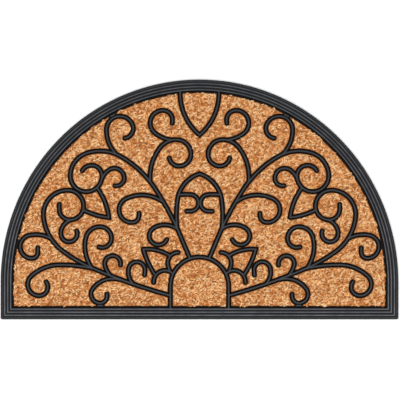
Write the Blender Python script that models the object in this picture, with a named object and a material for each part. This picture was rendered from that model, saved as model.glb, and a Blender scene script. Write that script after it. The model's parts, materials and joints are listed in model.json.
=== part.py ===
"""Half-round doormat: a coir panel held in one moulded rubber frame of border and scrollwork.

Run it with blender --background --python part.py, or from Blender's text editor. Metres, +Z up.
The origin is on the ground under the middle of the mat, and +Y points away from the straight edge.
The pattern is symmetric, so its tables give the right half in millimetres, with x measured out
from the centre line and y up from the straight edge. Headings and clock angles are in degrees,
counter-clockwise from +X.
"""
from collections import namedtuple
from math import acos, atan2, ceil, cos, hypot, pi, radians, sin

import bmesh
import bpy

MM = 0.001

# The mat's outline: straight sides, and half an ellipse on top of them.
MAT_WIDTH = 750.0
SIDE_HEIGHT = 69.5
CROWN_HEIGHT = 382.5
MAT_DEPTH = SIDE_HEIGHT + CROWN_HEIGHT

# The border: four moulded beads side by side, then a sunk flange that the coir butts against.
BORDER_WIDTH = 24.2
BORDER_TOP = 10.5
BEAD_COUNT = 4
FIRST_BEAD = 1.9
BEAD_PITCH = 5.77
BEAD_CROWN = 2.4
BEAD_FOOT = 4.8
GROOVE_FLOOR = 8.6
FLANGE_TOP = 6.2

# The ribs of the scrollwork, a trapezoid in section, each lying in a channel pressed in the coir.
RIB_FOOT = 7.8
RIB_CROWN = 3.6
RIB_BOTTOM = 5.9
RIB_TOP = 10.2
CLEARANCE = 0.3

# The coir: its cut edge butts on the border, and its pile ends at this height.
COIR_TOP = 9.0

# How far a straight segment may stray from the curve that it stands for.
CHORD_ERROR = 0.42
OUTLINE_ERROR = 0.25
TIP_ANGLES = (45, 76)

# The arch in the middle of the straight edge: two posts and a half circle.
ARCH_RADIUS = 55.0
ARCH_SPRING = 62.5
ARCH_FOOT = 20.0

# Straight and bowed ribs. One that starts where the last of its stroke ended carries on from it.
# A positive rise bows the rib to the left of the way it is drawn.
Bar = namedtuple("Bar", "stroke x0 y0 x1 y1 rise")
BARS = (
    Bar("main_scroll", 18, 114.5, 43.5, 175, 0),
    Bar("main_scroll", 43.5, 175, 86, 250, 1.5),
    Bar("main_scroll", 86, 250, 152, 309, 5.2),
    Bar("outer_scroll", 55.5, 45, 206.5, 98.5, -3),
    Bar("outer_scroll", 206.5, 98.5, 257, 128, -1.5),
    Bar("low_scroll", 200, 95.5, 270, 102.5, 2.5),
    Bar("heart", 42.5, 172, 42, 222, -1.5),
    Bar("heart", 42, 222, 0, 274.5, -10.2),
    Bar("leaf", 193, 248, 171, 192, -4),
    Bar("leaf", 171, 192, 219.5, 206.5, -2.5),
    Bar("bud", 84, 84, 106, 132, -2.2),
    Bar("bud", 106, 132, 55, 119.5, -4.5),
    Bar("pendant", 36.5, 430, 0, 347.5, 10.5),
    Bar("foot_tie", 180, 26, 194, 26, 0),
    Bar("side_tie", 346.5, 129, 343, 146, 0),
    Bar("top_tie", 158, 387.5, 170, 381.5, 0),
)

# Scrolls: a stem leaves its root on a heading and runs into the first coil, of a given centre.
# Each coil, of its own radius, ends at a clock angle seen from its centre, and the next one
# carries on from there. Turn is 1 for a scroll that winds to the left and -1 for one to the right.
Scroll = namedtuple("Scroll", "stroke x y heading centre_x centre_y turn coils tail")
SCROLLS = (
    Scroll("main_scroll", 152, 309, 27, 198.7, 270.5, -1, ((45, 0), (30, 180), (20, 30)), 0),
    Scroll("outer_scroll", 257, 128, 36, 248.5, 197.5, 1, ((46, 90), (30, 180), (26, 270), (20, 0)), 9),
    Scroll("low_scroll", 270, 102.5, -5, 302.5, 66, -1, ((21.5, 270), (16.5, 145)), 0),
    Scroll("crown_scroll", 93, 260, 85, 43.7, 299.8, 1,
           ((39, 90), (27.5, 180), (22.5, 270), (18.5, 350)), 0),
    Scroll("crown_curl", 50, 338, 3, 69, 370, 1, ((24, 90), (18, 185)), 4.5),
    Scroll("top_curl", 157, 311.5, 45, 150, 357.5, 1, ((25.5, 160), (18.5, 262)), 0),
    Scroll("inner_curl", 185, 262, 105, 160.5, 266.3, 1, ((18.5, 180), (14.5, 280)), 0),
    Scroll("hanging_curl", 240, 188, -12, 246, 161.5, -1, ((15.5, 165),), 1),
    Scroll("side_curl", 279.5, 152, 30, 316.3, 137, -1, ((22, 270), (11.5, 180)), 8),
    Scroll("shoulder_curl", 203.5, 97.5, 55, 188, 147.7, 1, ((27, 90), (22, 180), (17.5, 290)), 0),
    Scroll("foot_curl", 150, 74.7, 17, 187.5, 47.5, -1, ((17, 270), (13, 180)), 4),
    Scroll("small_curl", 167, 81.5, 45, 163.8, 105, 1, ((15, 190),), 0),
    Scroll("near_curl", 125, 66.5, 45, 118.3, 93, 1, ((15.5, 185),), 8),
    Scroll("lower_sepal", 50, 86, 45, 64, 70.5, -1, ((22.5, 0),), 1),
    Scroll("upper_sepal", 56, 91.5, 66, 40.5, 106.5, 1, ((19.5, 90),), 0),
    Scroll("heart_curl", 38, 235, 175, 17.5, 219.5, 1, ((15.8, 270),), 6.5),
    Scroll("waist_curl", 42.5, 171, 35, 77.5, 157.5, -1, ((17.3, 205),), 0),
    Scroll("breast_curl", 69.5, 222, 35, 128, 206.3, -1, ((23.7, 265), (13, 180)), 4),
)

RUBBER_COLOUR = (0.045, 0.044, 0.047, 1)
COIR_COLOUR = (0.61, 0.27, 0.10, 1)


def arc(x, y, heading, radius, sweep, error=CHORD_ERROR):
    """Points past (x, y) along an arc, which turns left for a positive radius, and its last heading."""
    widest = 2 * acos(1 - min(error / abs(radius), 1))
    count = max(1, ceil(sweep / widest))
    turn = 1 if radius > 0 else -1
    centre_x = x - radius * sin(heading)
    centre_y = y + radius * cos(heading)
    points = []
    for i in range(1, count + 1):
        angle = heading + turn * sweep * i / count
        points.append((centre_x + radius * sin(angle), centre_y - radius * cos(angle)))
    return points, heading + turn * sweep


def bar_line(bar):
    """Points of a straight or bowed rib."""
    heading = atan2(bar.y1 - bar.y0, bar.x1 - bar.x0)
    if bar.rise == 0:
        return [(bar.x0, bar.y0), (bar.x1, bar.y1)]
    chord = hypot(bar.x1 - bar.x0, bar.y1 - bar.y0)
    half_sweep = 2 * atan2(2 * abs(bar.rise), chord)
    side = 1 if bar.rise > 0 else -1
    radius = chord / (2 * sin(half_sweep))
    points, _ = arc(bar.x0, bar.y0, heading + side * half_sweep, -side * radius, 2 * half_sweep)
    return [(bar.x0, bar.y0)] + points


def scroll_line(scroll):
    """Points of a stem that touches its first coil, of the coils one after another, and of the tail."""
    heading = radians(scroll.heading)
    first = scroll.turn * scroll.coils[0][0]
    from_x, from_y = scroll.x - scroll.centre_x, scroll.y - scroll.centre_y
    left_x, left_y = -sin(heading), cos(heading)
    # The stem's arc touches the coil, so their centres lie apart by the difference of the radii.
    stem = first ** 2 - from_x ** 2 - from_y ** 2
    stem /= 2 * (from_x * left_x + from_y * left_y + first)
    across_x = (from_x + stem * left_x) / (stem - first)
    across_y = (from_y + stem * left_y) / (stem - first)
    joined = atan2(-across_x, across_y)
    side = 1 if stem > 0 else -1
    points, heading = arc(scroll.x, scroll.y, heading, stem, side * (joined - heading) % (2 * pi))
    points.insert(0, (scroll.x, scroll.y))
    for radius, clock in scroll.coils:
        facing = radians(clock) + scroll.turn * pi / 2
        sweep = scroll.turn * (facing - heading) % (2 * pi)
        more, heading = arc(*points[-1], heading, scroll.turn * radius, sweep)
        points += more
    if scroll.tail:
        end_x, end_y = points[-1]
        points.append((end_x + scroll.tail * cos(heading), end_y + scroll.tail * sin(heading)))
    return points


def arch_line():
    """Points of the arch, from its right foot over the top to its left foot."""
    points, _ = arc(ARCH_RADIUS, ARCH_SPRING, pi / 2, ARCH_RADIUS, pi)
    return [(ARCH_RADIUS, ARCH_FOOT), (ARCH_RADIUS, ARCH_SPRING)] + points + [(-ARCH_RADIUS, ARCH_FOOT)]


def strokes():
    """Every stroke of both halves, as (name, line, whether its end is a free tip)."""
    half = {}
    for bar in BARS:
        half.setdefault(bar.stroke, []).append(bar_line(bar))
    for scroll in SCROLLS:
        half.setdefault(scroll.stroke, []).append(scroll_line(scroll))
    coiled = {scroll.stroke for scroll in SCROLLS}
    found = [("arch", arch_line(), False)]
    for name, runs in half.items():
        line = runs[0] + [point for run in runs[1:] for point in run[1:]]
        mirrored = [(-x, y) for x, y in line]
        if line[-1][0] == 0:
            found.append((name, line + mirrored[-2::-1], False))
        else:
            found.append((name + "_right", line, name in coiled))
            found.append((name + "_left", mirrored, name in coiled))
    return found


def tipped(line, half_width):
    """The line run on past its end, and how wide it is at each point, so that it ends rounded."""
    (x0, y0), (x1, y1) = line[-2:]
    length = hypot(x1 - x0, y1 - y0)
    step_x, step_y = (x1 - x0) / length, (y1 - y0) / length
    ends = []
    for angle in TIP_ANGLES:
        reach = half_width * sin(radians(angle))
        ends.append((x1 + reach * step_x, y1 + reach * step_y))
    widths = [1.0] * len(line) + [cos(radians(angle)) for angle in TIP_ANGLES]
    return line + ends, widths


def mat_outline():
    """The outer edge, counter-clockwise from the left end of the straight edge."""
    half_width = MAT_WIDTH / 2
    widest = 2 * acos(1 - OUTLINE_ERROR / half_width)
    count = ceil(pi / widest)
    points = [(-half_width, 0), (half_width, 0)]
    for i in range(count + 1):
        angle = pi * i / count
        points.append((half_width * cos(angle), SIDE_HEIGHT + CROWN_HEIGHT * sin(angle)))
    return points


def inset(outline, distance):
    """A closed outline moved inwards, with mitred corners."""
    moved = []
    for i, (x, y) in enumerate(outline):
        x_before, y_before = outline[i - 1]
        x_after, y_after = outline[(i + 1) % len(outline)]
        before = atan2(y - y_before, x - x_before)
        after = atan2(y_after - y, x_after - x)
        half_turn = (after - before + pi) % (2 * pi) / 2 - pi / 2
        heading = before + half_turn
        reach = distance / cos(half_turn)
        moved.append((x - reach * sin(heading), y + reach * cos(heading)))
    return moved


def rib_section():
    foot, crown, height = RIB_FOOT / 2, RIB_CROWN / 2, RIB_TOP - RIB_BOTTOM
    return [(-foot, 0), (foot, 0), (crown, height), (-crown, height)]


def channel_section():
    foot, height = RIB_FOOT / 2 + CLEARANCE, 4 * RIB_TOP
    return [(-foot, 0), (foot, 0), (foot, height), (-foot, height)]


def border_section():
    """The border's section, from its outer foot inwards."""
    points = [(0, 0), (0, GROOVE_FLOOR)]
    for i in range(BEAD_COUNT):
        middle = FIRST_BEAD + i * BEAD_PITCH
        if i > 0:
            points.append((middle - BEAD_FOOT / 2, GROOVE_FLOOR))
        points.append((middle - BEAD_CROWN / 2, BORDER_TOP))
        points.append((middle + BEAD_CROWN / 2, BORDER_TOP))
        points.append((middle + BEAD_FOOT / 2, GROOVE_FLOOR))
    last = points[-1][0]
    points[-1] = (last, FLANGE_TOP)
    points.append((BORDER_WIDTH, FLANGE_TOP))
    points.append((BORDER_WIDTH, 0))
    return points


def new_collection(name):
    collection = bpy.data.collections.new(name)
    bpy.context.scene.collection.children.link(collection)
    return collection


def new_material(name, colour, roughness):
    material = bpy.data.materials.new(name)
    material.use_nodes = True
    shader = material.node_tree.nodes["Principled BSDF"]
    shader.inputs["Base Color"].default_value = colour
    shader.inputs["Roughness"].default_value = roughness
    shader.inputs["Metallic"].default_value = 0.0
    return material


def flat_curve(name, points, cyclic, collection):
    """A 2D curve object through points given in millimetres."""
    curve = bpy.data.curves.new(name, "CURVE")
    curve.dimensions = "2D"
    curve.fill_mode = "NONE"
    spline = curve.splines.new("POLY")
    spline.points.add(len(points) - 1)
    for point, (x, y) in zip(spline.points, points):
        point.co = (x * MM, y * MM, 0, 1)
    spline.use_cyclic_u = cyclic
    curve_object = bpy.data.objects.new(name, curve)
    collection.objects.link(curve_object)
    return curve_object


def made_mesh(curve_object):
    """The curve's solid as a mesh object under the same name, its caps welded and facing out."""
    bpy.context.view_layer.update()
    evaluated = curve_object.evaluated_get(bpy.context.evaluated_depsgraph_get())
    mesh = bpy.data.meshes.new_from_object(evaluated)
    solid = bmesh.new()
    solid.from_mesh(mesh)
    bmesh.ops.remove_doubles(solid, verts=solid.verts, dist=0.001 * MM)
    bmesh.ops.recalc_face_normals(solid, faces=solid.faces)
    solid.to_mesh(mesh)
    solid.free()
    name = curve_object.name
    collection = curve_object.users_collection[0]
    matrix = curve_object.matrix_world.copy()
    bpy.data.objects.remove(curve_object)
    mesh_object = bpy.data.objects.new(name, mesh)
    mesh_object.matrix_world = matrix
    collection.objects.link(mesh_object)
    return mesh_object


def sweep(name, line, section, height, collection, widths=None, cyclic=False):
    """A section swept along a flat line, as a mesh object."""
    path = flat_curve(name, line, cyclic, collection)
    if widths:
        for point, width in zip(path.data.splines[0].points, widths):
            point.radius = width
    path.data.bevel_mode = "OBJECT"
    path.data.bevel_object = section
    path.data.use_fill_caps = not cyclic
    path.location = (0, -MAT_DEPTH / 2 * MM, height * MM)
    return made_mesh(path)


def slab(name, outline, thickness, collection):
    """A flat plate standing on the ground, as a mesh object."""
    plate = flat_curve(name, outline, True, collection)
    plate.data.fill_mode = "BOTH"
    plate.data.extrude = thickness / 2 * MM
    plate.location = (0, -MAT_DEPTH / 2 * MM, thickness / 2 * MM)
    return made_mesh(plate)


def combine(target, operation, operands):
    """A Boolean of the target with everything in a collection."""
    modifier = target.modifiers.new(operation.lower(), "BOOLEAN")
    modifier.operation = operation
    modifier.solver = "EXACT"
    modifier.operand_type = "COLLECTION"
    modifier.collection = operands


def hide_guides(collection):
    for guide in collection.objects:
        guide.hide_render = True
        guide.display_type = "WIRE"


def build():
    for old in list(bpy.data.objects):
        bpy.data.objects.remove(old)
    mat = new_collection("half_round_doormat")
    guides = new_collection("sections")
    ribs = new_collection("rib_strokes")
    channels = new_collection("channel_cutters")

    rib = flat_curve("rib_section", rib_section(), True, guides)
    channel = flat_curve("channel_section", channel_section(), True, guides)
    bead = flat_curve("border_section", border_section(), True, guides)
    for name, line, free in strokes():
        for section, half_width, height, collection in (
            (rib, RIB_FOOT / 2, RIB_BOTTOM, ribs),
            (channel, RIB_FOOT / 2 + CLEARANCE, RIB_BOTTOM - CLEARANCE, channels),
        ):
            path, widths = tipped(line, half_width) if free else (line, None)
            sweep(collection.name + "_" + name, path, section, height, collection, widths)

    moulding = sweep("rubber_moulding", mat_outline(), bead, 0, mat, cyclic=True)
    combine(moulding, "UNION", ribs)
    moulding.data.materials.append(new_material("moulded_rubber", RUBBER_COLOUR, 0.6))

    panel = slab("coir_panel", inset(mat_outline(), BORDER_WIDTH + CLEARANCE), COIR_TOP, mat)
    combine(panel, "DIFFERENCE", channels)
    panel.data.materials.append(new_material("coir_pile", COIR_COLOUR, 0.95))

    for collection in (guides, ribs, channels):
        hide_guides(collection)


build()
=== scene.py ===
"""Half-round coir doormat: the looks of every surface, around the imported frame.

Metres, +Z up. The mat lies with its straight edge towards -Y. The mould's lines are given in
millimetres, as it was drawn: x out from the middle line and y up from the straight edge.
"""
import json
from collections import namedtuple
from contextlib import contextmanager
from math import acos, atan2, ceil, cos, hypot, pi, radians, sin
from random import Random

import bmesh
import bpy
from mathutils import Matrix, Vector, noise

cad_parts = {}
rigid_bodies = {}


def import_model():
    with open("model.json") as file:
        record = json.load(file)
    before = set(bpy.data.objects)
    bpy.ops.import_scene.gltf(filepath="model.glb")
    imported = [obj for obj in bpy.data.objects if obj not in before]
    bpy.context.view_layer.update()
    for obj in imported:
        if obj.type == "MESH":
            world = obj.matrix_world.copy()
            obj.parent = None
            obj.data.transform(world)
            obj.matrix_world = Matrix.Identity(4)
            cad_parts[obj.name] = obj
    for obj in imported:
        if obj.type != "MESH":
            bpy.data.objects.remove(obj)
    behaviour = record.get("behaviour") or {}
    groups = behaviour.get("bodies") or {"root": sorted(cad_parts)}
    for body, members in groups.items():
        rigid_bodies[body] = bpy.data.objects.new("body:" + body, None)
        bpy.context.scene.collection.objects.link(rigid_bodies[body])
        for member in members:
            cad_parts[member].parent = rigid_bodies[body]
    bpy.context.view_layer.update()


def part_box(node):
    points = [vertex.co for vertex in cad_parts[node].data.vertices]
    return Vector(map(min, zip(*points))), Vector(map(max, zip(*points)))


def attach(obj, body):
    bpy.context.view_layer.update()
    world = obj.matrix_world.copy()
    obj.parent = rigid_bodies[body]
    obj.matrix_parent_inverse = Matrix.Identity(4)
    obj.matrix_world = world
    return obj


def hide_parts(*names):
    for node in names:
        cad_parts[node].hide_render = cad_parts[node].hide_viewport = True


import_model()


# The rubber moulding. One piece of black nitrile-type rubber, pressed hot onto the coir: a border with
# a low outer rim, three beads and a sunk flange, and the ribs of the scrollwork. The mould's edges
# leave every crown a little rounded, and its cut grooves stay narrow; their dark is painted shade.
MM = 0.001
mould_low, mould_high = (Vector(corner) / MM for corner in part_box("rubber_moulding"))
HALF_WIDTH = mould_high.x
MAT_DEPTH = mould_high.y - mould_low.y
SIDE_HEIGHT = 69.5
CROWN_HEIGHT = MAT_DEPTH - SIDE_HEIGHT

# How far a straight step may stray from its curve, and how long a step beside a bar's end is, so
# that the inner side of a sharp corner doesn't fold.
LINE_ERROR = 0.05
OUTLINE_ERROR = 0.03
END_RUN = 7.8

# A free end is rounded by rings at these angles of a quarter turn. The lower the nose's power, the
# blunter the crown comes down there.
TIP_ANGLES = (20, 38, 54, 68, 80)
TIP_NOSE = 0.35

ARCH_RADIUS = 55.0
ARCH_SPRING = 62.5
ARCH_FOOT = 20.0

# The mould is cut to one drawing, the same on both sides of its middle line: bars that run straight
# or a little bowed, and scrolls whose arcs tighten turn by turn. The coir follows it too. A bar that
# starts where the last of its stroke ended carries on from it. A positive rise bows it to the left of
# the way it is drawn.
Bar = namedtuple("Bar", "stroke x0 y0 x1 y1 rise")
BARS = (
    Bar("main_scroll", 18, 114.5, 43.5, 175, 0),
    Bar("main_scroll", 43.5, 175, 86, 250, 1.5),
    Bar("main_scroll", 86, 250, 152, 309, 5.2),
    Bar("outer_scroll", 55.5, 45, 206.5, 98.5, -3),
    Bar("outer_scroll", 206.5, 98.5, 257, 128, -1.5),
    Bar("low_scroll", 200, 95.5, 270, 102.5, 2.5),
    Bar("heart", 42.5, 172, 42, 222, -1.5),
    Bar("heart", 42, 222, 0, 274.5, -10.2),
    Bar("leaf", 193, 248, 171, 192, -4),
    Bar("leaf", 171, 192, 219.5, 206.5, -2.5),
    Bar("bud", 84, 84, 106, 132, -2.2),
    Bar("bud", 106, 132, 55, 119.5, -4.5),
    Bar("pendant", 36.5, 430, 0, 347.5, 10.5),
    Bar("foot_tie", 183.5, 26, 190.5, 26, 0),
    Bar("side_tie", 345.3, 132.5, 343.9, 140.5, 0),
    Bar("top_tie", 161, 386, 167, 383, 0),
)

# Where a curl all but touches the border, a sunk web of rubber is all that joins them. Where there is
# more room, a short tie as high as the ribs does, round at both ends.
WEBS = ("side_tie",)
TIES = ("foot_tie", "top_tie")

# A scroll's stem leaves its root on a heading and runs into the first coil, whose centre is given.
# Each coil, of its own radius, ends at a clock angle seen from its centre. Turn is 1 for a scroll
# that winds to the left and -1 for one that winds to the right.
Scroll = namedtuple("Scroll", "stroke x y heading centre_x centre_y turn coils tail")
SCROLLS = (
    Scroll("main_scroll", 152, 309, 27, 198.7, 270.5, -1, ((45, 0), (30, 180), (20, 30)), 0),
    Scroll("outer_scroll", 257, 128, 36, 248.5, 197.5, 1, ((46, 90), (30, 180), (26, 270), (20, 0)), 9),
    Scroll("low_scroll", 270, 102.5, -5, 302.5, 66, -1, ((21.5, 270), (16.5, 145)), 0),
    Scroll("crown_scroll", 93, 260, 85, 43.7, 299.8, 1,
           ((39, 90), (27.5, 180), (22.5, 270), (18.5, 350)), 0),
    Scroll("crown_curl", 50, 338, 3, 69, 370, 1, ((24, 90), (18, 185)), 4.5),
    Scroll("top_curl", 157, 311.5, 45, 150, 357.5, 1, ((25.5, 160), (18.5, 262)), 0),
    Scroll("inner_curl", 185, 262, 105, 160.5, 266.3, 1, ((18.5, 180), (14.5, 280)), 0),
    Scroll("hanging_curl", 240, 188, -12, 246, 161.5, -1, ((15.5, 165),), 1),
    Scroll("side_curl", 279.5, 152, 30, 316.3, 137, -1, ((22, 270), (11.5, 180)), 8),
    Scroll("shoulder_curl", 203.5, 97.5, 55, 188, 147.7, 1, ((27, 90), (22, 180), (17.5, 290)), 0),
    Scroll("foot_curl", 150, 74.7, 17, 187.5, 47.5, -1, ((17, 270), (13, 180)), 4),
    Scroll("small_curl", 167, 81.5, 45, 163.8, 105, 1, ((15, 190),), 0),
    Scroll("near_curl", 125, 66.5, 45, 118.3, 93, 1, ((15.5, 185),), 8),
    Scroll("lower_sepal", 50, 86, 45, 64, 70.5, -1, ((22.5, 0),), 1),
    Scroll("upper_sepal", 56, 91.5, 66, 40.5, 106.5, 1, ((19.5, 90),), 0),
    Scroll("heart_curl", 38, 235, 175, 17.5, 219.5, 1, ((15.8, 270),), 6.5),
    Scroll("waist_curl", 42.5, 171, 35, 77.5, 157.5, -1, ((17.3, 205),), 0),
    Scroll("breast_curl", 69.5, 222, 35, 128, 206.3, -1, ((23.7, 265), (13, 180)), 4),
)


def arc(x, y, heading, radius, sweep, end_run=0):
    """Points past (x, y) along an arc, which turns left for a positive radius, and its last heading."""
    widest = 2 * acos(1 - LINE_ERROR / abs(radius))
    margin = min(end_run / abs(radius), sweep / 2)
    count = ceil(max(sweep - 2 * margin, widest) / widest)
    stops = [margin + (sweep - 2 * margin) * i / count for i in range(count + 1)] + [sweep]
    turn = 1 if radius > 0 else -1
    centre_x = x - radius * sin(heading)
    centre_y = y + radius * cos(heading)
    points = []
    passed = 0
    for stop in stops:
        if stop - passed > widest / 8:
            angle = heading + turn * stop
            points.append((centre_x + radius * sin(angle), centre_y - radius * cos(angle)))
            passed = stop
    return points, heading + turn * sweep


def bar_line(bar):
    """Points of a straight or bowed rib."""
    heading = atan2(bar.y1 - bar.y0, bar.x1 - bar.x0)
    if bar.rise == 0:
        return [(bar.x0, bar.y0), (bar.x1, bar.y1)]
    chord = hypot(bar.x1 - bar.x0, bar.y1 - bar.y0)
    half_sweep = 2 * atan2(2 * abs(bar.rise), chord)
    side = 1 if bar.rise > 0 else -1
    radius = chord / (2 * sin(half_sweep))
    points, _ = arc(bar.x0, bar.y0, heading + side * half_sweep, -side * radius, 2 * half_sweep, END_RUN)
    return [(bar.x0, bar.y0)] + points[:-1] + [(bar.x1, bar.y1)]


def scroll_line(scroll):
    """Points of a stem that touches its first coil, of the coils one after another, and of the tail."""
    heading = radians(scroll.heading)
    first = scroll.turn * scroll.coils[0][0]
    from_x, from_y = scroll.x - scroll.centre_x, scroll.y - scroll.centre_y
    left_x, left_y = -sin(heading), cos(heading)
    # The stem's arc touches the coil, so their centres lie apart by the difference of the radii.
    stem = first ** 2 - from_x ** 2 - from_y ** 2
    stem /= 2 * (from_x * left_x + from_y * left_y + first)
    across_x = (from_x + stem * left_x) / (stem - first)
    across_y = (from_y + stem * left_y) / (stem - first)
    joined = atan2(-across_x, across_y)
    side = 1 if stem > 0 else -1
    points, heading = arc(scroll.x, scroll.y, heading, stem, side * (joined - heading) % (2 * pi))
    points.insert(0, (scroll.x, scroll.y))
    for radius, clock in scroll.coils:
        facing = radians(clock) + scroll.turn * pi / 2
        sweep = scroll.turn * (facing - heading) % (2 * pi)
        more, heading = arc(*points[-1], heading, scroll.turn * radius, sweep)
        points += more
    if scroll.tail:
        end_x, end_y = points[-1]
        points.append((end_x + scroll.tail * cos(heading), end_y + scroll.tail * sin(heading)))
    return points


def arch_line():
    """Points of the arch, from its right foot over the top to its left foot."""
    points, _ = arc(ARCH_RADIUS, ARCH_SPRING, pi / 2, ARCH_RADIUS, pi)
    return [(ARCH_RADIUS, ARCH_FOOT), (ARCH_RADIUS, ARCH_SPRING)] + points + [(-ARCH_RADIUS, ARCH_FOOT)]


def strokes():
    """Every stroke of both halves, as (name, line, whether its end is a free tip)."""
    half = {}
    for bar in BARS:
        half.setdefault(bar.stroke, []).append(bar_line(bar))
    for scroll in SCROLLS:
        half.setdefault(scroll.stroke, []).append(scroll_line(scroll))
    coiled = {scroll.stroke for scroll in SCROLLS}
    found = [("arch", arch_line(), False)]
    for name, runs in half.items():
        line = runs[0] + [point for run in runs[1:] for point in run[1:]]
        mirrored = [(-x, y) for x, y in line]
        if line[-1][0] == 0:
            found.append((name, line + mirrored[-2::-1], False))
        else:
            found.append((name, line, name in coiled))
            found.append((name, mirrored, name in coiled))
    return found


def tipped(line, widths, half_width):
    """A line and its widths with the last end rounded."""
    (x0, y0), (x1, y1) = line[-2:]
    length = hypot(x1 - x0, y1 - y0)
    for angle in TIP_ANGLES:
        reach = half_width * sin(radians(angle)) / length
        line = line + [(x1 + reach * (x1 - x0), y1 + reach * (y1 - y0))]
        widths = widths + [cos(radians(angle))]
    return line, widths


def rib_runs(half_width, ribs=True, webs=True):
    """The strokes as (points, width at each point, closed), their free tips rounded."""
    runs = []
    for name, line, free in strokes():
        if not (webs if name in WEBS else ribs):
            continue
        widths = [1.0] * len(line)
        if free or name in TIES:
            line, widths = tipped(line, widths, half_width)
        if name in TIES:
            line, widths = tipped(line[::-1], widths[::-1], half_width)
        runs.append((line, widths, False))
    return runs


def mat_outline():
    """The outer edge, counter-clockwise from the left end of the straight edge."""
    widest = 2 * acos(1 - OUTLINE_ERROR / HALF_WIDTH)
    count = ceil(pi / widest)
    points = [(-HALF_WIDTH, 0), (HALF_WIDTH, 0)]
    for i in range(count + 1):
        angle = pi * i / count
        points.append((HALF_WIDTH * cos(angle), SIDE_HEIGHT + CROWN_HEIGHT * sin(angle)))
    return points


def mitres(points, closed):
    """For each point of a line, the vector to its left that keeps an offset line's corners sharp."""
    left = []
    for (x0, y0), (x1, y1) in zip(points, points[1:] + points[:1]):
        left.append(Vector((y0 - y1, x1 - x0)).normalized())
    found = []
    for i in range(len(points)):
        before = left[i - 1] if closed or i > 0 else left[i]
        after = left[i] if closed or i < len(points) - 1 else left[i - 1]
        found.append((before + after) / (1 + before.dot(after)))
    return found


def inset(outline, distance):
    """A closed outline moved inwards."""
    return [(x + distance * to.x, y + distance * to.y) for (x, y), to in zip(outline, mitres(outline, True))]


def link(name, mesh):
    """A mesh as an object of the scene."""
    made = bpy.data.objects.new(name, mesh)
    bpy.context.scene.collection.objects.link(made)
    return made


def set_points(mesh, name, kind, values):
    """A named value on every point of a mesh."""
    attribute = mesh.attributes.new(name, kind, "POINT")
    field = "value" if kind == "FLOAT" else "vector"
    attribute.data.foreach_set(field, values)


def ring_run(outline, width=1.0):
    """A closed outline as one run, equally wide all round."""
    return outline, [width] * len(outline), True


def line_object(name, runs):
    """Flat lines as edges. Each point keeps its place, its width and the mitred vector to its left."""
    places, across, widths, edges = [], [], [], []
    for points, scales, closed in runs:
        first, count = len(places), len(points)
        places += [(x * MM, (y - MAT_DEPTH / 2) * MM, 0) for x, y in points]
        across += [(to.x, to.y, 0) for to in mitres(points, closed)]
        widths += scales
        edges += [(first + i, first + i + 1) for i in range(count - 1)]
        if closed:
            edges.append((first + count - 1, first))
    mesh = bpy.data.meshes.new(name)
    mesh.from_pydata(places, edges, [])
    set_points(mesh, "place", "FLOAT_VECTOR", [value for place in places for value in place])
    set_points(mesh, "across", "FLOAT_VECTOR", [value for to in across for value in to])
    set_points(mesh, "width", "FLOAT", widths)
    return link(name, mesh)


# The sections that are swept along the drawing's lines: the border's, the ribs' and the webs'.
BORDER_WIDTH = 24.2
BEAD_COUNT = 4
FIRST_BEAD = 1.9
BEAD_PITCH = 5.77
BEAD_CROWN = 2.4
BEAD_FOOT = 4.8
BORDER_TOP = mould_high.z
RIM_TOP = 10.0
RIM_OUTER = 0.8
RIM_INNER = 4.3
RIM_GROOVE = 9.1
GROOVE_FLOOR = 8.6
FLANGE_TOP = 6.2
RIB_FOOT = 7.8
RIB_CROWN = 3.6
RIB_BOTTOM = 5.9
RIB_TOP = 10.2
WEB_TOP = 6.4

Corner = namedtuple("Corner", "across up radius")
CROWN_EASE = 0.9
RIB_EASE = 1.7
FOOT_EASE = 0.3

# An edge that turns by more degrees than this stays sharp to the eye.
RUBBER_SHARP = 32

# The two ends of the straight edge are rounded by a trim that stands a little outside the rest.
TRIM_MARGIN = 0.5
END_RADIUS = 5.0
END_STEPS = 7


def section_object(name, corners):
    """A closed section as a ring of edges, with its corners eased to their radius by short curves."""
    ring = []
    for i, corner in enumerate(corners):
        here = Vector(corner[:2])
        before, after = Vector(corners[i - 1][:2]), Vector(corners[(i + 1) % len(corners)][:2])
        if corner.radius == 0:
            ring.append(here)
            continue
        reach = min(corner.radius, (before - here).length / 2, (after - here).length / 2)
        start = here + reach * (before - here).normalized()
        end = here + reach * (after - here).normalized()
        for share in (0, 1 / 3, 2 / 3, 1):
            ring.append(start.lerp(here, share).lerp(here.lerp(end, share), share))
    mesh = bpy.data.meshes.new(name)
    places = [(point.x * MM, point.y * MM, 0) for point in ring]
    mesh.from_pydata(places, [(i, (i + 1) % len(ring)) for i in range(len(ring))], [])
    set_points(mesh, "section", "FLOAT_VECTOR", [value for place in places for value in place])
    return link(name, mesh)


def border_corners():
    """The border's section, from its outer foot inwards."""
    corners = [Corner(0, 0, 0), Corner(0, GROOVE_FLOOR, FOOT_EASE), Corner(RIM_OUTER, RIM_TOP, CROWN_EASE),
               Corner(RIM_INNER, RIM_TOP, FOOT_EASE)]
    for i in range(1, BEAD_COUNT):
        middle = FIRST_BEAD + i * BEAD_PITCH
        groove = RIM_GROOVE if i == 1 else GROOVE_FLOOR
        corners += [Corner(middle - BEAD_FOOT / 2, groove, FOOT_EASE),
                    Corner(middle - BEAD_CROWN / 2, BORDER_TOP, CROWN_EASE),
                    Corner(middle + BEAD_CROWN / 2, BORDER_TOP, CROWN_EASE),
                    Corner(middle + BEAD_FOOT / 2, GROOVE_FLOOR, FOOT_EASE)]
    corners[-1] = Corner(corners[-1].across, FLANGE_TOP, FOOT_EASE)
    return corners + [Corner(BORDER_WIDTH, FLANGE_TOP, 0), Corner(BORDER_WIDTH, 0, 0)]


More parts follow.
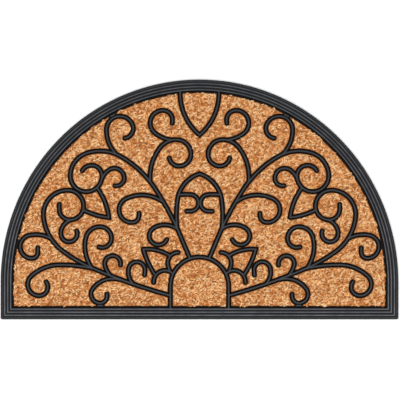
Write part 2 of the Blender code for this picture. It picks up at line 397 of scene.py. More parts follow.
def upright_corners(low, foot, high, crown, ease=0):
    """A section with a foot and a crown of these full widths, at two heights."""
    return [Corner(-foot / 2, low, 0), Corner(foot / 2, low, 0),
            Corner(crown / 2, high, ease), Corner(-crown / 2, high, ease)]


def add(tree, kind, inputs=None, out=None, **settings):
    """Adds a node with its settings and links, and gives its output of that name, or its first one."""
    made = tree.nodes.new(kind)
    for name, value in settings.items():
        setattr(made, name, value)
    for key, value in (inputs or {}).items():
        named = [socket for socket in made.inputs if socket.enabled and socket.name == key]
        socket = named[0] if named else made.inputs[key]
        if isinstance(value, bpy.types.NodeSocket):
            tree.links.new(value, socket)
        else:
            socket.default_value = value
    given = [socket for socket in made.outputs if socket.enabled and out in (None, socket.name)]
    return given[0] if given else made


def new_tree(name, sizes):
    """A Geometry Nodes tree that takes a mesh and the named sizes, with its input sockets."""
    tree = bpy.data.node_groups.new(name, "GeometryNodeTree")
    tree.interface.new_socket("Mesh", in_out="INPUT", socket_type="NodeSocketGeometry")
    for label, kind in sizes.items():
        tree.interface.new_socket(label, in_out="INPUT", socket_type="NodeSocket" + kind)
    tree.interface.new_socket("Mesh", in_out="OUTPUT", socket_type="NodeSocketGeometry")
    return tree, tree.nodes.new("NodeGroupInput").outputs


def end_tree(tree, geometry, material):
    """Ends a tree with real geometry in the given material."""
    real = add(tree, "GeometryNodeRealizeInstances", {"Geometry": geometry})
    painted = add(tree, "GeometryNodeSetMaterial", {"Geometry": real, "Material": material})
    add(tree, "NodeGroupOutput", {"Mesh": painted})
    return tree


def grown(name, base, tree, sizes):
    """The plain mesh object that a tree makes of a base object."""
    modifier = base.modifiers.new(tree.name, "NODES")
    modifier.node_group = tree
    for item in tree.interface.items_tree:
        if item.in_out == "INPUT" and item.name in sizes:
            modifier[item.identifier] = sizes[item.name]
    base.data.update_tag()
    return made_plain(name, base)


def made_plain(name, base):
    """A base object as its modifiers leave it, as a plain mesh object of another name."""
    bpy.context.view_layer.update()
    evaluated = base.evaluated_get(bpy.context.evaluated_depsgraph_get())
    mesh = bpy.data.meshes.new_from_object(evaluated)
    base.modifiers.clear()
    mesh.name = name
    return link(name, mesh)


def sweep_tree():
    """A tree that sweeps a section along flat lines, as wide at each point as the line says."""
    tree, given = new_tree("sweep_along_lines", {
        "Section": "Object", "Caps": "Bool", "Nose": "Float", "Floor": "Float", "Rubber": "Material"})
    path = add(tree, "GeometryNodeMeshToCurve", {"Mesh": given["Mesh"]})
    ring = add(tree, "GeometryNodeObjectInfo", {"Object": given["Section"]}, out="Geometry")
    profile = add(tree, "GeometryNodeMeshToCurve", {"Mesh": ring})
    tube = add(tree, "GeometryNodeCurveToMesh", {
        "Curve": path, "Profile Curve": profile, "Fill Caps": given["Caps"]})
    place, across, section = (
        add(tree, "GeometryNodeInputNamedAttribute", {"Name": name}, data_type="FLOAT_VECTOR")
        for name in ("place", "across", "section"))
    width = add(tree, "GeometryNodeInputNamedAttribute", {"Name": "width"}, data_type="FLOAT")
    section_x = add(tree, "ShaderNodeSeparateXYZ", {"Vector": section}, out="X")
    section_y = section_x.node.outputs["Y"]
    sideways = add(tree, "ShaderNodeMath", {0: section_x, 1: width}, operation="MULTIPLY")
    # Towards a tip the crown comes down in a blunt nose, while the foot stays level.
    nose = add(tree, "ShaderNodeMath", {0: width, 1: given["Nose"]}, operation="POWER")
    above = add(tree, "ShaderNodeMath", {0: section_y, 1: given["Floor"]}, operation="SUBTRACT")
    height = add(tree, "ShaderNodeMath", {0: above, 1: nose, 2: given["Floor"]}, operation="MULTIPLY_ADD")
    offset = add(tree, "ShaderNodeVectorMath", {0: across, "Scale": sideways}, operation="SCALE")
    upright = add(tree, "ShaderNodeCombineXYZ", {"Z": height})
    flat = add(tree, "ShaderNodeVectorMath", {0: place, 1: offset}, operation="ADD")
    there = add(tree, "ShaderNodeVectorMath", {0: flat, 1: upright}, operation="ADD")
    moved = add(tree, "GeometryNodeSetPosition", {"Geometry": tube, "Position": there})
    return end_tree(tree, moved, given["Rubber"])


@contextmanager
def opened(made):
    """An object's mesh, open to change inside the block."""
    solid = bmesh.new()
    solid.from_mesh(made.data)
    yield solid
    solid.to_mesh(made.data)
    solid.free()


def closed_mesh(name, shape):
    """The mesh of a closed shape, with its faces outwards; the shape is used up."""
    bmesh.ops.recalc_face_normals(shape, faces=shape.faces)
    mesh = bpy.data.meshes.new(name)
    shape.to_mesh(mesh)
    shape.free()
    return mesh


def tidy_mesh(made, weld=0):
    """Welds the corners that a cut left that near, turns the faces outwards, and drops what shaped them."""
    with opened(made) as solid:
        if weld:
            bmesh.ops.remove_doubles(solid, verts=solid.verts, dist=weld)
        bmesh.ops.recalc_face_normals(solid, faces=solid.faces)
    for name in ("place", "across", "section", "width"):
        if name in made.data.attributes:
            made.data.attributes.remove(made.data.attributes[name])


def boolean(name, base, operation, other):
    """The plain mesh of a solid joined with another, cut by it or kept inside it; both are used up."""
    modifier = base.modifiers.new(operation, "BOOLEAN")
    modifier.operation = operation
    modifier.solver = "EXACT"
    modifier.object = other
    modifier.use_self = True
    made = made_plain(name, base)
    discard(base, other)
    return made


def discard(*helpers):
    """Removes objects that only served to make another."""
    for helper in helpers:
        bpy.data.objects.remove(helper)


def cutting_prism(name, outline, low=-BORDER_TOP, high=2 * BORDER_TOP):
    """A plain upright prism on an outline, between two heights."""
    shape = bmesh.new()
    corners = [shape.verts.new((x * MM, (y - MAT_DEPTH / 2) * MM, low * MM)) for x, y in outline]
    raised = bmesh.ops.extrude_face_region(shape, geom=[shape.faces.new(corners)])["geom"]
    for vertex in raised:
        if isinstance(vertex, bmesh.types.BMVert):
            vertex.co.z = high * MM
    return link(name, closed_mesh(name, shape))


def rounded_ends(outline, radius):
    """An outline with its two sharp ends, which are its first two points, rounded off."""
    points = []
    for (x, y), start in zip(outline[:2], (pi, 1.5 * pi)):
        side = 1 if x > 0 else -1
        for i in range(END_STEPS + 1):
            angle = start + pi / 2 * i / END_STEPS
            points.append((x - side * radius + radius * cos(angle), y + radius + radius * sin(angle)))
    return points + outline[2:]


def ease_edges(made, angle):
    """Smooth shading, with every edge sharper than the angle kept sharp."""
    made.data.shade_smooth()
    made.data.set_sharp_from_angle(angle=radians(angle))


def linear(paint):
    """An sRGB hex colour as the linear one that the shader takes."""
    channels = [int(paint[i:i + 2], 16) / 255 for i in (0, 2, 4)]
    return tuple(c / 12.92 if c <= 0.04045 else ((c + 0.055) / 1.055) ** 2.4 for c in channels) + (1,)


def new_material(name, **constants):
    """A material of that name, with its node tree, its shader, and each point's place on the object."""
    made = bpy.data.materials.new(name)
    made.use_nodes = True
    shader = made.node_tree.nodes["Principled BSDF"]
    for key, value in constants.items():
        shader.inputs[key.replace("_", " ")].default_value = value
    return made, made.node_tree, shader, add(made.node_tree, "ShaderNodeTexCoord", out="Object")


def finish(tree, shader, colour, dulled, bump):
    """Ends a material with its colour, its roughness and its bump."""
    tree.links.new(colour, shader.inputs["Base Color"])
    tree.links.new(dulled, shader.inputs["Roughness"])
    tree.links.new(bump, shader.inputs["Normal"])


def ramp(tree, share, stops):
    """A run of colours between stops, each a share and an sRGB hex colour."""
    colour = add(tree, "ShaderNodeValToRGB", {"Fac": share}, out="Color")
    elements = colour.node.color_ramp.elements
    while len(elements) < len(stops):
        elements.new(0.5)
    for element, (place, paint) in zip(elements, stops):
        element.position = place
        element.color = linear(paint)
    return colour


# Nitrile rubber, moulded and then walked on. Low down and on faces that look sideways it is painted
# nearly black, as painted shade of the grooves and flanks. On the crowns a grey bloom and fine dust
# turn it to a dull slate with paler scuffs; that it shows only on faces that look up is painted
# light from above.
RUBBER_SHADED_BLACK = "060505"
RUBBER_GREY = "292A2B"
RUBBER_SLATE = "4D4E52"
RUBBER_SCUFF = "616267"
SCUFF_SIZE = 16.0
SKIN_GRAIN = 1.1
SKIN_RELIEF = 0.12
FALLOFF_REACH = 220.0
LIGHT_AT_BACK = 0.55

# The heights between which the painted shade's black turns grey and the grey turns to bloom, and
# how far upwards a face has to look to take either: faces that look sideways keep the painted shade.
GREY_FROM = 7.0
GREY_FULL = 8.6
BLOOM_FROM = 9.9
BLOOM_FULL = 10.5
LIT_FACING_FROM = 0.55
LIT_FACING_FULL = 0.95

rubber, tree, shader, place = new_material("nitrile_rubber", IOR=1.52, Specular_IOR_Level=0.07)
height = add(tree, "ShaderNodeSeparateXYZ", {"Vector": place}, out="Z")
# The bloom is painted paler towards the straight edge and darker towards the back, as painted
# light that falls off across the mat.
painted_light_falloff = add(tree, "ShaderNodeMapRange", {
    "Value": height.node.outputs["Y"], "From Min": -FALLOFF_REACH * MM, "From Max": FALLOFF_REACH * MM,
    "To Min": 1.0, "To Max": LIGHT_AT_BACK})
normal = add(tree, "ShaderNodeNewGeometry", out="Normal")
facing = add(tree, "ShaderNodeSeparateXYZ", {"Vector": normal}, out="Z")
clear_of_dark_base = add(tree, "ShaderNodeMapRange", {
    "Value": height, "From Min": GREY_FROM * MM, "From Max": GREY_FULL * MM})
worn_up = add(tree, "ShaderNodeMapRange", {
    "Value": height, "From Min": BLOOM_FROM * MM, "From Max": BLOOM_FULL * MM},
    interpolation_type="SMOOTHSTEP")
level = add(tree, "ShaderNodeMapRange", {"Value": facing, "From Min": LIT_FACING_FROM, "From Max": LIT_FACING_FULL})
patches = add(tree, "ShaderNodeTexNoise", {
    "Vector": place, "Scale": 1 / (SCUFF_SIZE * MM), "Detail": 5.0, "Roughness": 0.62}, out="Fac")
grain = add(tree, "ShaderNodeTexNoise", {
    "Vector": place, "Scale": 1 / (SKIN_GRAIN * MM), "Detail": 3.0, "Roughness": 0.6}, out="Fac")
scuffs = add(tree, "ShaderNodeMapRange", {"Value": patches, "From Min": 0.38, "From Max": 0.66})
# Dust on the crowns, lit by painted light where a face looks up and fading towards the back.
bloom_and_painted_light = add(tree, "ShaderNodeMath", {0: worn_up, 1: level}, operation="MULTIPLY")
bloom_and_painted_light = add(tree, "ShaderNodeMath", {0: bloom_and_painted_light, 1: painted_light_falloff}, operation="MULTIPLY")
slate = add(tree, "ShaderNodeMix", {
    "Factor": scuffs, "A": linear(RUBBER_SLATE), "B": linear(RUBBER_SCUFF)}, data_type="RGBA")
# Black low down and on the flanks as painted shade, grey where a face is high and looks up.
painted_shade_base = add(tree, "ShaderNodeMix", {
    "Factor": add(tree, "ShaderNodeMath", {0: clear_of_dark_base, 1: level}, operation="MULTIPLY"),
    "A": linear(RUBBER_SHADED_BLACK), "B": linear(RUBBER_GREY)}, data_type="RGBA")
colour = add(tree, "ShaderNodeMix", {"Factor": bloom_and_painted_light, "A": painted_shade_base, "B": slate}, data_type="RGBA")
dulled = add(tree, "ShaderNodeMapRange", {
    "Value": grain, "From Min": 0.3, "From Max": 0.7, "To Min": 0.56, "To Max": 0.7})
bump = add(tree, "ShaderNodeBump", {"Height": grain, "Strength": 0.35, "Distance": SKIN_RELIEF * MM})
finish(tree, shader, colour, dulled, bump)

sweeper = sweep_tree()
outline_line = line_object("outline_line", [ring_run(mat_outline())])
border_section = section_object("border_section", border_corners())
rib_lines = line_object("rib_lines", rib_runs(RIB_FOOT / 2, webs=False))
rib_section = section_object("rib_section", upright_corners(
    RIB_BOTTOM, RIB_FOOT, RIB_TOP, RIB_CROWN, RIB_EASE))
web_lines = line_object("web_lines", rib_runs(RIB_FOOT / 2, ribs=False))
web_section = section_object("web_section", upright_corners(RIB_BOTTOM, RIB_FOOT, WEB_TOP, RIB_FOOT))
border = grown("border", outline_line, sweeper, {
    "Section": border_section, "Caps": False, "Nose": 1.0, "Floor": 0.0, "Rubber": rubber})
ribs = grown("ribs", rib_lines, sweeper, {
    "Section": rib_section, "Caps": True, "Nose": TIP_NOSE, "Floor": RIB_BOTTOM * MM, "Rubber": rubber})
webs = grown("webs", web_lines, sweeper, {
    "Section": web_section, "Caps": True, "Nose": 0.0, "Floor": 0.0, "Rubber": rubber})
for made in (border, ribs, webs):
    tidy_mesh(made)
discard(outline_line, border_section, rib_section, rib_lines, web_section, web_lines)
trim_outline = rounded_ends(inset(mat_outline(), -TRIM_MARGIN), END_RADIUS)
border = boolean("border", border, "INTERSECT", cutting_prism("end_trim", trim_outline))
border = boolean("border", border, "UNION", webs)
rubber_frame = boolean("rubber_frame", border, "UNION", ribs)
ease_edges(rubber_frame, RUBBER_SHARP)
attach(rubber_frame, "root")
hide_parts("rubber_moulding")


# The coir panel. A slab of coconut fibre on a rubber-coated back, cut to a half-round and pressed
# under the ribs, which lie in channels. Its bed of matted fibre swells and sinks a little, and it is
# seen only as the darker brown between the tufts of the pile.
SLOT = 1.2
EDGE_SLOT = 1.3
BED_GAP = 0.05
WELD_REACH = 0.002
BED_TOP = 7.1
BED_SWELL = 0.45
BED_WAVE = 7.0
BED_GRID = 2.6
FINE_PLANE = 40
BED_SHARP = 40
CHANNEL_FLOOR = 5.6
SKIM_DEPTH = 0.1


def swelling(x, y):
    """The height of the matted bed, in millimetres: soft lumps in two sizes, from two planes of noise."""
    soft = noise.noise(Vector((x, y, 0)) / BED_WAVE)
    fine = noise.noise(Vector((x, y, FINE_PLANE)) / (BED_WAVE / 2))
    return BED_TOP + BED_SWELL * (soft + 0.5 * fine)


def lumpy_block(name):
    """A block as wide as the mat, level below, with the bed's lumps on top."""
    across, along = ceil(2 * HALF_WIDTH / BED_GRID), ceil(MAT_DEPTH / BED_GRID)
    shape = bmesh.new()
    rows = []
    for j in range(along + 1):
        row = []
        for i in range(across + 1):
            x, y = -HALF_WIDTH + BED_GRID * i, BED_GRID * j
            row.append(shape.verts.new((x * MM, (y - MAT_DEPTH / 2) * MM, swelling(x, y) * MM)))
        rows.append(row)
    for low, high in zip(rows, rows[1:]):
        for i in range(across):
            shape.faces.new((low[i], low[i + 1], high[i + 1], high[i]))
    rim = rows[0] + [row[-1] for row in rows[1:-1]] + rows[-1][::-1] + [row[0] for row in rows[-2:0:-1]]
    under = [shape.verts.new((vertex.co.x, vertex.co.y, 0)) for vertex in rim]
    for i in range(len(rim)):
        shape.faces.new((rim[i], rim[i - 1], under[i - 1], under[i]))
    shape.faces.new(under)
    return link(name, closed_mesh(name, shape))


# Matted coir, which is coconut husk fibre: orange-brown and dull, in short streaks that lie every way,
# with darker pits where the mat is thin.
BED_SLOT_SHADE = "0F0A07"
BED_DARK = "844A22"
BED_BROWN = "B8723C"
BED_ORANGE = "DC9C5C"

# Three layers of strands cross each other, each about 0.9 mm wide and 6 mm long. Real strands are a
# third of that, which would not show.
STREAK_WIDTH = 0.9
STREAK_STRETCH = 7.0
STREAK_TURNS = (0.3, 1.35, 2.4)
STREAK_RELIEF = 0.5
LUMP_SIZE = 6.0
SLOT_SHADE_BELOW = 5.8
SLOT_SHADE_ENDS = 6.6

matted_coir, tree, shader, place = new_material("matted_coir", IOR=1.5, Specular_IOR_Level=0.2)
streaks = None
for turn in STREAK_TURNS:
    turned = add(tree, "ShaderNodeMapping", {
        "Vector": place, "Rotation": (0, 0, turn), "Scale": (STREAK_STRETCH, 1.0, 1.0)},
        vector_type="TEXTURE")
    layer = add(tree, "ShaderNodeTexNoise", {
        "Vector": turned, "Scale": 1 / (STREAK_WIDTH * MM), "Detail": 2.0, "Distortion": 0.5}, out="Fac")
    streaks = layer if streaks is None else add(
        tree, "ShaderNodeMath", {0: streaks, 1: layer}, operation="MAXIMUM")
lumps = add(tree, "ShaderNodeTexNoise", {
    "Vector": place, "Scale": 1 / (LUMP_SIZE * MM), "Detail": 2.0}, out="Fac")
shade = add(tree, "ShaderNodeMix", {"Factor": 0.2, "A": streaks, "B": lumps})
colour = ramp(tree, shade, ((0.46, BED_DARK), (0.58, BED_BROWN), (0.68, BED_ORANGE)))
# Down in the slots beside the ribs the fibre is painted nearly black, as painted shade of the slots.
height = add(tree, "ShaderNodeSeparateXYZ", {"Vector": place}, out="Z")
# The height mask that lifts the colour out of the slots' painted shade.
loose = add(tree, "ShaderNodeMapRange", {
    "Value": height, "From Min": SLOT_SHADE_BELOW * MM, "From Max": SLOT_SHADE_ENDS * MM})
colour = add(tree, "ShaderNodeMix", {
    "Factor": loose, "A": linear(BED_SLOT_SHADE), "B": colour}, data_type="RGBA")
dulled = add(tree, "ShaderNodeMapRange", {"Value": streaks, "To Min": 0.8, "To Max": 0.95})
bump = add(tree, "ShaderNodeBump", {"Height": streaks, "Strength": 0.7, "Distance": STREAK_RELIEF * MM})
finish(tree, shader, colour, dulled, bump)

# The skim of rubber that holds the roots of the fibre, rolled on: black, dull and faintly pebbled.
SKIM_BLACK = "1C1B1B"
SKIM_GREY = "2B2A29"
PEBBLE_SIZE = 1.6
PEBBLE_RELIEF = 0.2

rubber_skim, tree, shader, place = new_material("rolled_rubber_skim", IOR=1.52)
pebbles = add(tree, "ShaderNodeTexVoronoi", {
    "Vector": place, "Scale": 1 / (PEBBLE_SIZE * MM), "Smoothness": 0.6},
    out="Distance", feature="SMOOTH_F1")
colour = ramp(tree, pebbles, ((0.1, SKIM_BLACK), (0.8, SKIM_GREY)))
dulled = add(tree, "ShaderNodeMapRange", {"Value": pebbles, "To Min": 0.62, "To Max": 0.8})
bump = add(tree, "ShaderNodeBump", {"Height": pebbles, "Strength": 0.5, "Distance": PEBBLE_RELIEF * MM})
finish(tree, shader, colour, dulled, bump)

# The ribs' channels, and with them a narrow one all along the border, are cut from a tall prism
# first. What is left of it then trims the lumpy block.
channel_half = RIB_FOOT / 2 + SLOT
edge_run = ring_run(inset(mat_outline(), BORDER_WIDTH), EDGE_SLOT / channel_half)
channel_lines = line_object("channel_lines", rib_runs(channel_half) + [edge_run])
channel_section = section_object("channel_section", upright_corners(
    CHANNEL_FLOOR, 2 * channel_half, 3 * BORDER_TOP, 2 * channel_half))
channels = grown("channels", channel_lines, sweeper, {
    "Section": channel_section, "Caps": True, "Nose": 0.0, "Floor": 0.0, "Rubber": matted_coir})
tidy_mesh(channels)
discard(channel_lines, channel_section)
trimmer = cutting_prism("trimmer", inset(mat_outline(), BORDER_WIDTH + BED_GAP))
trimmer = boolean("trimmer", trimmer, "DIFFERENCE", channels)
coir_bed = boolean("coir_bed", lumpy_block("block"), "INTERSECT", trimmer)
tidy_mesh(coir_bed, WELD_REACH * MM)
coir_bed.data.materials.clear()
coir_bed.data.materials.append(matted_coir)
coir_bed.data.materials.append(rubber_skim)
for face in coir_bed.data.polygons:
    face.material_index = 1 if face.center.z < SKIM_DEPTH * MM else 0
ease_edges(coir_bed, BED_SHARP)
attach(coir_bed, "root")
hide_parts("coir_panel")


# The pile. Coconut fibre stands on the bed in small tufts that the press has laid over every way, so
# that from above each is a pale curl over its own shadow. Beside a rib or the border a tuft leans
# along it or away from it, which leaves a dark line bare. The border's line is ragged, as a cut edge is.
PILE_BANDS = ("left_end", "left", "left_middle", "right_middle", "right", "right_end")
BAND_WIDTH = 118.0
TUFT_SHAPES = 8
TUFT_STRANDS = 4
TUFT_LENGTH = 9.2
TUFT_WIDTH = 2.6
TUFT_SPACING = 2.55
TUFT_LIFT = 7.8
STRAND_RADIUS = 0.31
STRAND_FLAT = 1.25
STRAND_TAPER = 0.35
PILE_GRAIN = 0.5
GRAIN_TURN = radians(18)
SWIRL_SIZE = 16.0
RAGGED_SIZE = 7.0
RAGGED_BY = 4.4
RAGGED_STEP = 2.5
RAGGED_PLANE = 90
PILE_SEED = 11

# No tuft has its middle nearer to a line than MIDDLE_CLEAR, and its ends are kept END_CLEAR away. The
# lines are the ribs' middle lines and one for the border, which lies BORDER_CLEAR outside the planted
# field and is then pushed in and out. The field itself stops FIELD_GAP short of the border.
MIDDLE_CLEAR = 6.4
END_CLEAR = 5.1
FIELD_GAP = 0.3
BORDER_CLEAR = 5.2
LINE_HALF_WIDTH = 0.1

# The form of a tuft's strands, in millimetres and in shares of their reach, height and radius.
TUFT_BOW = 1.4
STRAND_BOW = 0.5
STRAND_ASIDE = 0.25
BOW_SET_BACK = 0.6
ROOT_SHIFT = 1.2
ROOT_DEPTH = 1.8
SHOULDER = 0.8
REACH_SHARES = (0.8, 1.15)
TOP_HEIGHTS = (0.6, 1.1)
TIP_HEIGHTS = (-0.1, 0.8)
RADIUS_SHARES = (0.8, 1.25)

# Each tuft has a square cell of the texture map, so many to a row, and leaves a margin of it free. A
# strand's root end would be a line there, so one of its corners is set this far in.
TUFT_CELLS = 52.0
CELL_MARGIN = 0.04
ROOT_IN_MAP = 0.05

# The tufts' direction turns three times round over the whole range of the swirls' noise. Each one is a
# little astray from it, has its own size, rocks by up to these angles in radians, and stands a little
# lower or higher than the rest. One whose ends lack room shrinks, and most at SQUEEZED_TO of the room.
SWIRL_TURNS = 6 * pi
ASTRAY = 0.6
SIZES = (0.8, 1.2)
ROCKS_BY = Vector((0.25, 0.06, 0.0))
STANDS_BY = (-0.75, 0.45)
SMALLEST = 0.5
SQUEEZED_TO = 0.4


def fibre(shape, path, radius, row, rows, shade):
    """One strand along a path, a little flat, in rings of three corners that end in a fine tip."""
    cells, shades = shape.verts.layers.float_vector["cell"], shape.verts.layers.float["fibre_shade"]

    def corner(where, share, line):
        """A corner, with its place in the tuft's cell of the texture map."""
        vertex = shape.verts.new(where * MM)
        vertex[cells] = (CELL_MARGIN + (1 - 2 * CELL_MARGIN) * share, (row + line) / rows, 0)
        vertex[shades] = shade
        return vertex

    rings = []
    for i, here in enumerate(path[:-1]):
        share = i / (len(path) - 1)
        along = (path[i + 1] - path[max(i - 1, 0)]).normalized()
        side = along.cross(Vector((0, 0, 1))).normalized()
        up = side.cross(along)
        reach = radius * (1 - STRAND_TAPER * share ** 2)
        ring = []
        for k in range(3):
            turn = pi / 2 + 2 * pi * k / 3
            out = STRAND_FLAT * cos(turn) * side + sin(turn) * up / STRAND_FLAT
            in_map = ROOT_IN_MAP if i == 0 and k == 1 else share
            ring.append(corner(here + reach * out, in_map, 0.25 + 0.25 * k))
        rings.append(ring)
    tip = corner(path[-1], 1, 0.5)
    for low, high in zip(rings, rings[1:]):
        for k in range(3):
            shape.faces.new((low[k], low[(k + 1) % 3], high[(k + 1) % 3], high[k]))
    for k in range(3):
        shape.faces.new((rings[-1][k], rings[-1][(k + 1) % 3], tip))
    shape.faces.new(rings[0][::-1])


def shape_set(name, count, build):
    """A collection of small shapes for a tree to pick from, each built by its own draws."""
    chosen = bpy.data.collections.new(name)
    for number in range(count):
        shape = bmesh.new()
        shape.verts.layers.float_vector.new("cell")
        shape.verts.layers.float.new("fibre_shade")
        build(shape, Random(PILE_SEED + number))
        mesh = closed_mesh(f"{name}_{number}", shape)
        mesh.shade_smooth()
        chosen.objects.link(bpy.data.objects.new(mesh.name, mesh))
    return chosen


def build_tuft(shape, draw):
    """Strands side by side that rise from the bed, bend over and run out to a tip, all bowed one way."""
    bow = draw.uniform(-TUFT_BOW, TUFT_BOW)
    half = TUFT_LENGTH / 2
    for row in range(TUFT_STRANDS):
        beside = TUFT_WIDTH * ((row + 0.5) / TUFT_STRANDS - 0.5) + draw.uniform(-STRAND_ASIDE, STRAND_ASIDE)
        own_bow = bow + draw.uniform(-STRAND_BOW, STRAND_BOW)
        first, last = draw.uniform(-half, ROOT_SHIFT - half), half * draw.uniform(*REACH_SHARES)
        top = draw.uniform(*TOP_HEIGHTS)
        tip = draw.uniform(*TIP_HEIGHTS)
        path = []
        for share, height in ((0, -ROOT_DEPTH), (0.3, SHOULDER * top), (0.68, top), (1, tip)):
            sideways = own_bow * (4 * share * (1 - share) - BOW_SET_BACK)
            path.append(Vector((first + (last - first) * share, beside + sideways, height)))
        radius = STRAND_RADIUS * draw.uniform(*RADIUS_SHARES)
        fibre(shape, path, radius, row, TUFT_STRANDS, draw.random())


def ends_off(tree, lines, here, way, reach):
    """How far the nearer end of a shape that lies along a direction is from the nearest line."""
    found = []
    for side in (1.0, -1.0):
        half = add(tree, "ShaderNodeMath", {0: reach, 1: side}, operation="MULTIPLY")
        end = add(tree, "ShaderNodeVectorMath", {0: way, 1: half, 2: here}, operation="MULTIPLY_ADD")
        found.append(add(tree, "GeometryNodeProximity", {
            "Geometry": lines, "Sample Position": end}, out="Distance", target_element="EDGES"))
    return add(tree, "ShaderNodeMath", {0: found[0], 1: found[1]}, operation="MINIMUM")


def ragged(outline):
    """A closed outline in short steps, pushed outwards and inwards a little as a cut edge of coir is."""
    points = []
    for (x0, y0), (x1, y1) in zip(outline, outline[1:] + outline[:1]):
        steps = ceil(hypot(x1 - x0, y1 - y0) / RAGGED_STEP)
        points += [(x0 + (x1 - x0) * i / steps, y0 + (y1 - y0) * i / steps) for i in range(steps)]
    pushed = []
    for (x, y), to in zip(points, mitres(points, True)):
        by = RAGGED_BY * noise.noise(Vector((x, y, RAGGED_PLANE)) / RAGGED_SIZE)
        pushed.append((x + by * to.x, y + by * to.y))
    return pushed


def plant_tree():
    """A tree that plants shapes over a field, each turned so that it doesn't lie over a line."""
    tree, given = new_tree("plant_over_bed", {
        "Lines": "Object", "Shapes": "Collection", "Shape count": "Int", "Spacing": "Float",
        "Lift": "Float", "Reach": "Float", "Swirl": "Float", "Middle clear": "Float",
        "End clear": "Float", "From": "Float", "To": "Float", "Cells": "Float", "Grain": "Float",
        "Seed": "Int", "Material": "Material"})
    # Three points are offered to each square of the spacing, so the spacing alone says how many stay.
    closest = add(tree, "ShaderNodeMath", {0: given["Spacing"], 1: -2.0}, operation="POWER")
    densest = add(tree, "ShaderNodeMath", {0: closest, 1: 3.0}, operation="MULTIPLY")
    points = add(tree, "GeometryNodeDistributePointsOnFaces", {
        "Mesh": given["Mesh"], "Distance Min": given["Spacing"], "Density Max": densest,
        "Seed": given["Seed"]}, out="Points", distribute_method="POISSON")
    lines = add(tree, "GeometryNodeObjectInfo", {"Object": given["Lines"]}, out="Geometry")
    here = add(tree, "GeometryNodeInputPosition")

    # Which way is away from the nearest line, and how far off it is.
    distance = add(tree, "GeometryNodeProximity", {
        "Geometry": lines, "Sample Position": here}, out="Distance", target_element="EDGES")
    off = add(tree, "ShaderNodeVectorMath", {
        0: here, 1: distance.node.outputs["Position"]}, operation="SUBTRACT")
    away = add(tree, "ShaderNodeVectorMath", {0: off}, operation="NORMALIZE")

    # The directions run in swirls, with some chance, and more often across the mat for a grain below 1.
    # Where an end would come too near the line, it is turned until the end just stays clear.
    coarser = add(tree, "ShaderNodeMath", {0: 1.0, 1: given["Swirl"]}, operation="DIVIDE")
    swirl = add(tree, "ShaderNodeTexNoise", {"Vector": here, "Scale": coarser, "Detail": 1.0}, out="Fac")
    astray = add(tree, "FunctionNodeRandomValue", {
        "Min": -ASTRAY, "Max": ASTRAY, "Seed": 1}, out="Value", data_type="FLOAT")
    turn = add(tree, "ShaderNodeMath", {0: swirl, 1: SWIRL_TURNS, 2: astray}, operation="MULTIPLY_ADD")
    sideways = add(tree, "ShaderNodeMath", {0: turn}, operation="COSINE")
    upwards = add(tree, "ShaderNodeMath", {0: turn}, operation="SINE")
    upwards = add(tree, "ShaderNodeMath", {0: upwards, 1: given["Grain"]}, operation="MULTIPLY")
    any_way = add(tree, "ShaderNodeVectorMath", {
        0: add(tree, "ShaderNodeCombineXYZ", {"X": sideways, "Y": upwards})}, operation="NORMALIZE")
    any_way = add(tree, "ShaderNodeVectorRotate", {
        "Vector": any_way, "Angle": GRAIN_TURN}, rotation_type="Z_AXIS")
    leaning = add(tree, "ShaderNodeVectorMath", {0: any_way, 1: away}, out="Value", operation="DOT_PRODUCT")
    spare = add(tree, "ShaderNodeMath", {0: distance, 1: given["End clear"]}, operation="SUBTRACT")
    most = add(tree, "ShaderNodeMath", {
        0: spare, 1: given["Reach"]}, operation="DIVIDE", use_clamp=True)
    least = add(tree, "ShaderNodeMath", {0: most, 1: -1.0}, operation="MULTIPLY")
    kept = add(tree, "ShaderNodeMath", {
        0: add(tree, "ShaderNodeMath", {0: leaning, 1: least}, operation="MAXIMUM"), 1: most},
        operation="MINIMUM")
    lean_part = add(tree, "ShaderNodeVectorMath", {0: away, "Scale": leaning}, operation="SCALE")
    beside = add(tree, "ShaderNodeVectorMath", {
        0: add(tree, "ShaderNodeVectorMath", {0: any_way, 1: lean_part}, operation="SUBTRACT")},
        operation="NORMALIZE")
    rest = add(tree, "ShaderNodeMath", {
        0: 1.0, 1: add(tree, "ShaderNodeMath", {0: kept, 1: 2.0}, operation="POWER")}, operation="SUBTRACT")
    rest = add(tree, "ShaderNodeMath", {0: rest}, operation="SQRT")
    heading = add(tree, "ShaderNodeVectorMath", {
        0: add(tree, "ShaderNodeVectorMath", {0: away, "Scale": kept}, operation="SCALE"),
        1: add(tree, "ShaderNodeVectorMath", {0: beside, "Scale": rest}, operation="SCALE")},
        operation="ADD")

    # Between two ribs an end may reach the other one, so there it lies along the nearer of them.
    squeezed = add(tree, "FunctionNodeCompare", {
        "A": ends_off(tree, lines, here, heading, given["Reach"]), "B": given["End clear"]},
        data_type="FLOAT", operation="LESS_THAN")
    along = add(tree, "ShaderNodeVectorMath", {0: away, 1: (0.0, 0.0, 1.0)}, operation="CROSS_PRODUCT")
    way = add(tree, "GeometryNodeSwitch", {
        "Switch": squeezed, "False": heading, "True": along}, input_type="VECTOR")
    last_off = ends_off(tree, lines, here, way, given["Reach"])
    room = add(tree, "ShaderNodeMath", {0: last_off, 1: given["End clear"]}, operation="DIVIDE")
    short = add(tree, "ShaderNodeMapRange", {
        "Value": room, "From Min": SQUEEZED_TO, "From Max": 1.0, "To Min": SMALLEST, "To Max": 1.0})
    chance = add(tree, "FunctionNodeRandomValue", {
        "Min": SIZES[0], "Max": SIZES[1], "Seed": 2}, out="Value", data_type="FLOAT")
    size = add(tree, "ShaderNodeMath", {0: short, 1: chance}, operation="MULTIPLY")

